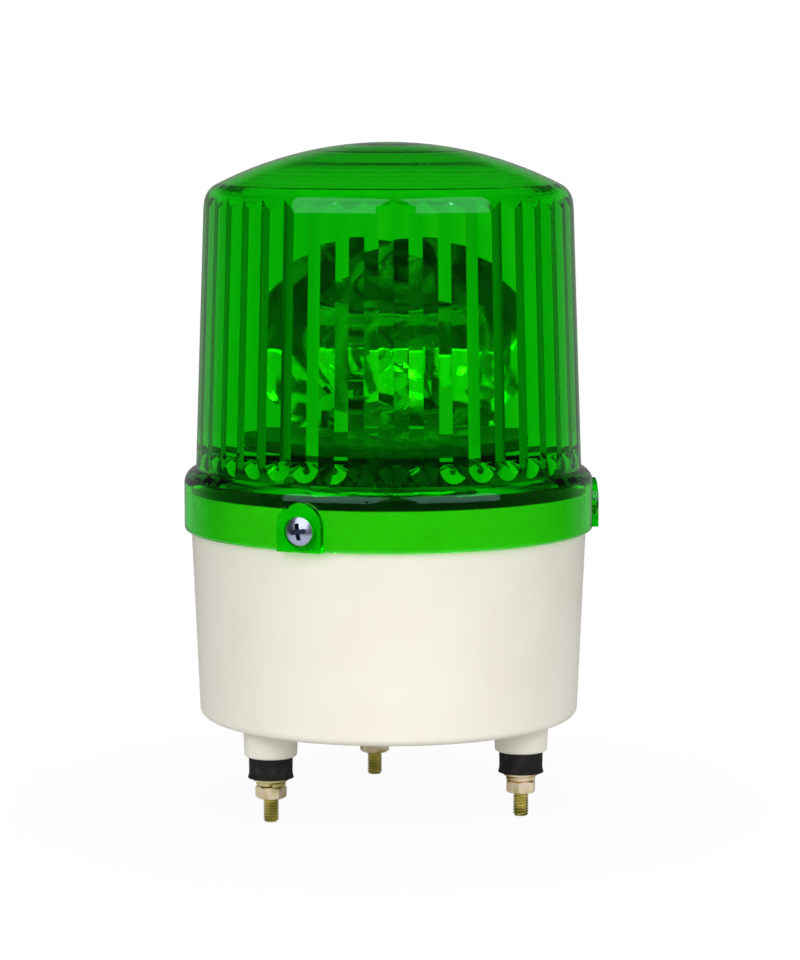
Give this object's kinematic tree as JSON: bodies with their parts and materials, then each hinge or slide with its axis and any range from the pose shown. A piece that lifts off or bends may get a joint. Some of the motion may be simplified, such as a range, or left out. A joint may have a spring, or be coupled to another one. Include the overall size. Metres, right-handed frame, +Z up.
{
  "type": "rotating beacon",
  "caption": "Rotating warning beacon: a fluted green lens on a tapered cream base, with a chromed dish that turns round a fixed bulb, standing on threaded studs with rubber feet.",
  "frame": {"origin": "on the beacon's axis, in the plane of the stud tips", "axes": "+Z up along the axis; at rest the dish faces -Y, one stud is on +Y and one lens screw on +X"},
  "size_m": [0.1087, 0.1066, 0.1739],
  "materials": {
    "cream_plastic": "fine satin moulding, cream",
    "green_lens": "clear green, polished",
    "black_rubber": "matt black",
    "zinc_plate": "yellow zinc plate",
    "bright_steel": "bright plated steel",
    "chassis_metal": "pressed sheet, plain",
    "black_plastic": "matt black moulding",
    "brass": "machined brass",
    "bulb_glass": "clear glass",
    "dish_chrome": "mirror-bright vacuum plating on a moulding"
  },
  "bodies": {
    "fixed_housing": {"base_housing": "cream_plastic", "cable_grommet": "black_rubber", "mounting_studs": "zinc_plate", "hex_nuts": "zinc_plate", "spring_washers": "zinc_plate", "flat_washers": "zinc_plate", "rubber_feet": "black_rubber", "lens_dome": "green_lens", "lens_gasket": "black_rubber", "lens_screws": "bright_steel", "chassis_plate": "chassis_metal", "chassis_screws": "bright_steel", "lamp_post": "bright_steel", "post_nut": "bright_steel", "contact_disc": "black_plastic", "contact_plunger": "brass", "bulb_cap": "brass", "bulb_glass": "bulb_glass", "bulb_stem": "bulb_glass", "bulb_filament": "bright_steel", "thrust_washer": "bright_steel", "top_washer": "bright_steel", "retaining_ring": "bright_steel", "motor_case": "chassis_metal", "motor_screws": "bright_steel", "terminal_block": "black_plastic", "terminal_screws": "brass"},
    "spinning_reflector": {"turntable": "black_plastic", "turntable_bush": "brass", "reflector": "dish_chrome", "reflector_screws": "bright_steel"},
    "motor_rotor": {"motor_shaft": "bright_steel", "drive_pinion": "brass"}
  },
  "joints": [
    {"name": "reflector_spin", "type": "hinge", "parent": "fixed_housing", "child": "spinning_reflector", "pos_m": [0, 0, 0.09], "axis": [0, 0, 1], "continuous": true},
    {"name": "motor_spin", "type": "hinge", "parent": "fixed_housing", "child": "motor_rotor", "pos_m": [0, 0.03, 0.086], "axis": [0, 0, 1], "continuous": true}
  ],
  "couplings": [
    {"joint": "motor_spin", "follows": "reflector_spin", "ratio": -4}
  ]
}
